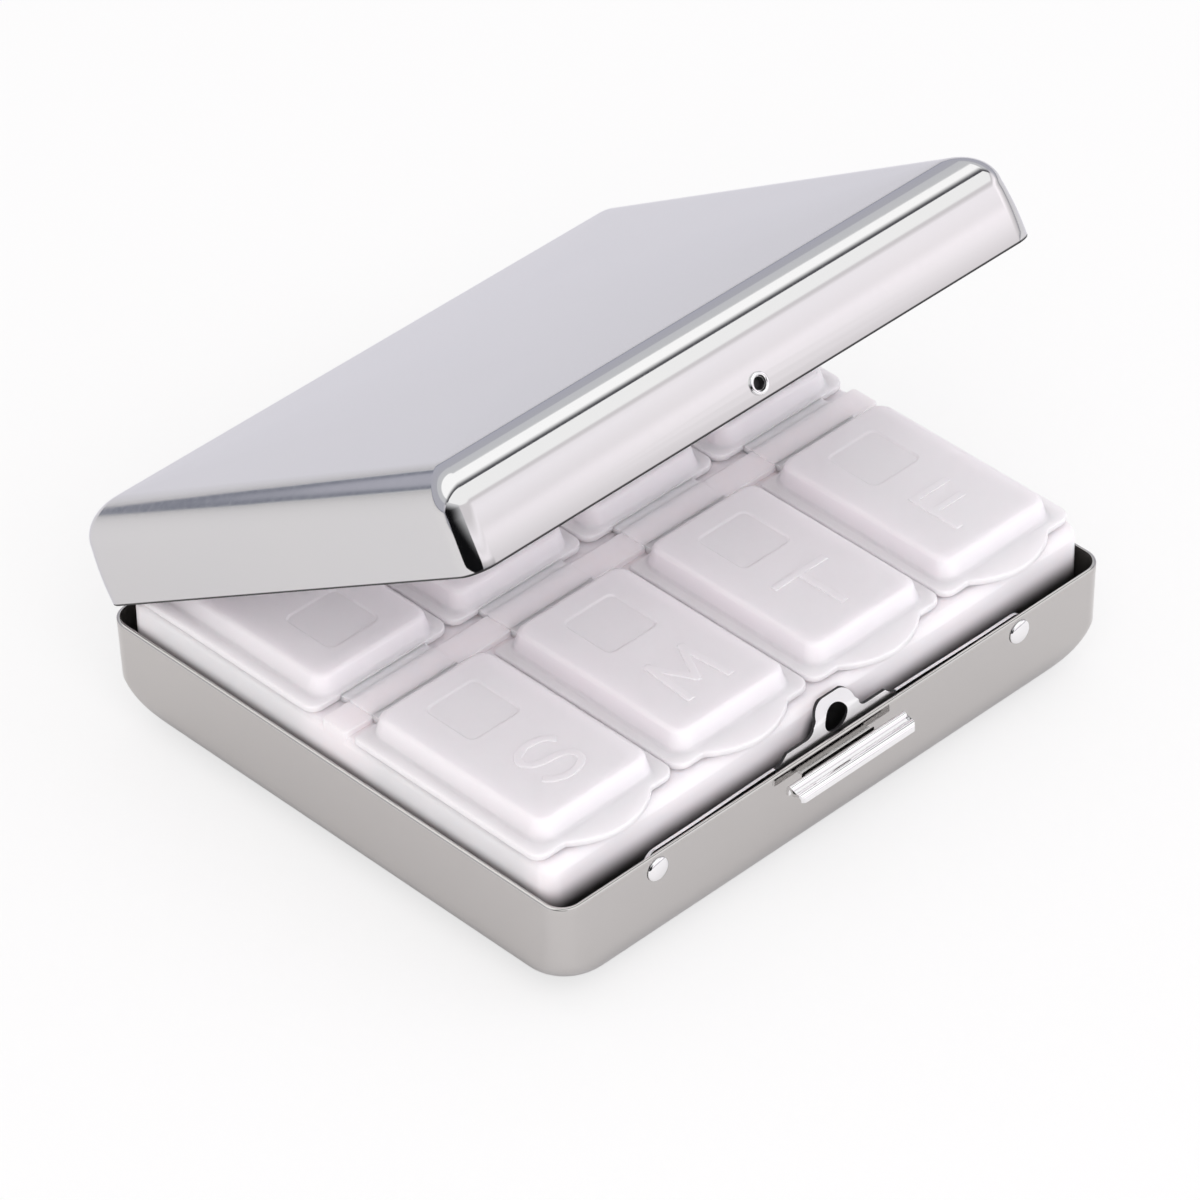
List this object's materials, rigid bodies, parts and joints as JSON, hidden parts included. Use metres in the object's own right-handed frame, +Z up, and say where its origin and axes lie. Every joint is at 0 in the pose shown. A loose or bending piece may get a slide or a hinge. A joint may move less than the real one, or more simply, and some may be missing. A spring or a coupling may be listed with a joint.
{
  "type": "pill dispenser",
  "caption": "Pocket metal pill case with a hinged lid, a sprung push catch and a drop-in plastic insert whose bins each have a hinged flap.",
  "frame": {"origin": "middle of the tray's flat underside, which rests on the table", "axes": "+Z up, +X along the case's length to the right when facing the catch, +Y from the catch towards the hinge"},
  "size_m": [0.09, 0.0857, 0.0664],
  "materials": {
    "case_metal": "satin-polished nickel-plated sheet steel",
    "bright_metal": "mirror-bright plated spring steel",
    "insert_plastic": "milky translucent polypropylene, satin",
    "flap_plastic": "milky translucent polypropylene, satin"
  },
  "bodies": {
    "tray": {"tray_shell": "case_metal", "tray_hinge_leaf": "case_metal", "hinge_pin": "bright_metal", "spring_arm_left": "bright_metal", "spring_arm_right": "bright_metal", "latch_rivet_left": "bright_metal", "latch_rivet_right": "bright_metal", "pill_insert": "insert_plastic"},
    "lid": {"lid_shell": "case_metal", "lid_hinge_leaf": "case_metal", "catch_stud": "bright_metal"},
    "latch": {"latch_tongue": "bright_metal", "thumb_piece": "bright_metal"},
    "front_flap_1": {"flap_front_1": "flap_plastic"},
    "front_flap_2": {"flap_front_2": "flap_plastic"},
    "front_flap_3": {"flap_front_3": "flap_plastic"},
    "front_flap_4": {"flap_front_4": "flap_plastic"},
    "back_flap_1": {"flap_back_1": "flap_plastic"},
    "back_flap_2": {"flap_back_2": "flap_plastic"},
    "back_flap_3": {"flap_back_3": "flap_plastic"},
    "back_flap_4": {"flap_back_4": "flap_plastic"}
  },
  "joints": [
    {"name": "lid_hinge", "type": "hinge", "parent": "tray", "child": "lid", "pos_m": [0, 0.0398, 0.01615], "axis": [-1, 0, 0], "range_deg": [-32, 148]},
    {"name": "latch_press", "type": "slide", "parent": "tray", "child": "latch", "axis": [0, 1, 0], "range_m": [0, 0.0008], "stiffness_N_per_m": 3000},
    {"name": "front_flap_hinge_1", "type": "hinge", "parent": "tray", "child": "front_flap_1", "pos_m": [-0.03293, -0.003, 0.0206], "axis": [-1, 0, 0], "range_deg": [0, 90]},
    {"name": "front_flap_hinge_2", "type": "hinge", "parent": "tray", "child": "front_flap_2", "pos_m": [-0.01098, -0.003, 0.0206], "axis": [-1, 0, 0], "range_deg": [0, 90]},
    {"name": "front_flap_hinge_3", "type": "hinge", "parent": "tray", "child": "front_flap_3", "pos_m": [0.01098, -0.003, 0.0206], "axis": [-1, 0, 0], "range_deg": [0, 90]},
    {"name": "front_flap_hinge_4", "type": "hinge", "parent": "tray", "child": "front_flap_4", "pos_m": [0.03293, -0.003, 0.0206], "axis": [-1, 0, 0], "range_deg": [0, 90]},
    {"name": "back_flap_hinge_1", "type": "hinge", "parent": "tray", "child": "back_flap_1", "pos_m": [-0.03293, 0.003, 0.0206], "axis": [1, 0, 0], "range_deg": [0, 20]},
    {"name": "back_flap_hinge_2", "type": "hinge", "parent": "tray", "child": "back_flap_2", "pos_m": [-0.01098, 0.003, 0.0206], "axis": [1, 0, 0], "range_deg": [0, 20]},
    {"name": "back_flap_hinge_3", "type": "hinge", "parent": "tray", "child": "back_flap_3", "pos_m": [0.01098, 0.003, 0.0206], "axis": [1, 0, 0], "range_deg": [0, 20]},
    {"name": "back_flap_hinge_4", "type": "hinge", "parent": "tray", "child": "back_flap_4", "pos_m": [0.03293, 0.003, 0.0206], "axis": [1, 0, 0], "range_deg": [0, 20]}
  ]
}
